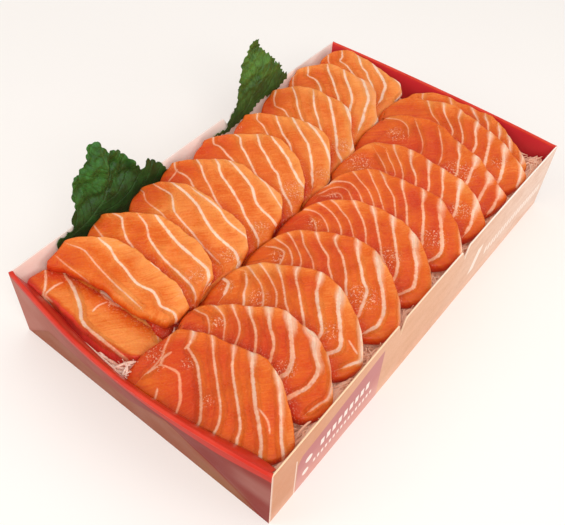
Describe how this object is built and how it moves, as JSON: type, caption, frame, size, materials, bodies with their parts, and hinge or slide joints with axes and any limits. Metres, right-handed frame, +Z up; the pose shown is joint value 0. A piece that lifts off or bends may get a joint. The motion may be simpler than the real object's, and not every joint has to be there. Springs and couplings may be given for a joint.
{
  "type": "sashimi tray",
  "caption": "Open rectangular card tray with two shingled rows of sliced salmon sashimi on a bed of shredded radish, and serrated green leaves standing along one long side.",
  "frame": {"origin": "centre of the tray's underside, on the surface it stands on", "axes": "+Z up, +Y along the tray's long side from the front slices to the back ones, +X across it from the leaves' side to the slotted printed side"},
  "size_m": [0.1479, 0.2442, 0.0773],
  "materials": {
    "card": "lightly coated folded card: kraft brown outside, glossy red at the short ends, off-white inside",
    "daikon": "wet translucent shreds",
    "salmon": "moist orange flesh with pale fat lines",
    "leaf": "matt crinkled green leaf"
  },
  "bodies": {
    "root": {"tray": "card", "daikon_bed": "daikon", "slice_a01": "salmon", "slice_a02": "salmon", "slice_a03": "salmon", "slice_a04": "salmon", "slice_a05": "salmon", "slice_a06": "salmon", "slice_a07": "salmon", "slice_a08": "salmon", "slice_a09": "salmon", "slice_a10": "salmon", "slice_b01": "salmon", "slice_b02": "salmon", "slice_b03": "salmon", "slice_b04": "salmon", "slice_b05": "salmon", "slice_b06": "salmon", "slice_b07": "salmon", "slice_b08": "salmon", "slice_b09": "salmon", "slice_b10": "salmon", "leaf_near": "leaf", "leaf_far": "leaf"}
  },
  "joints": []
}
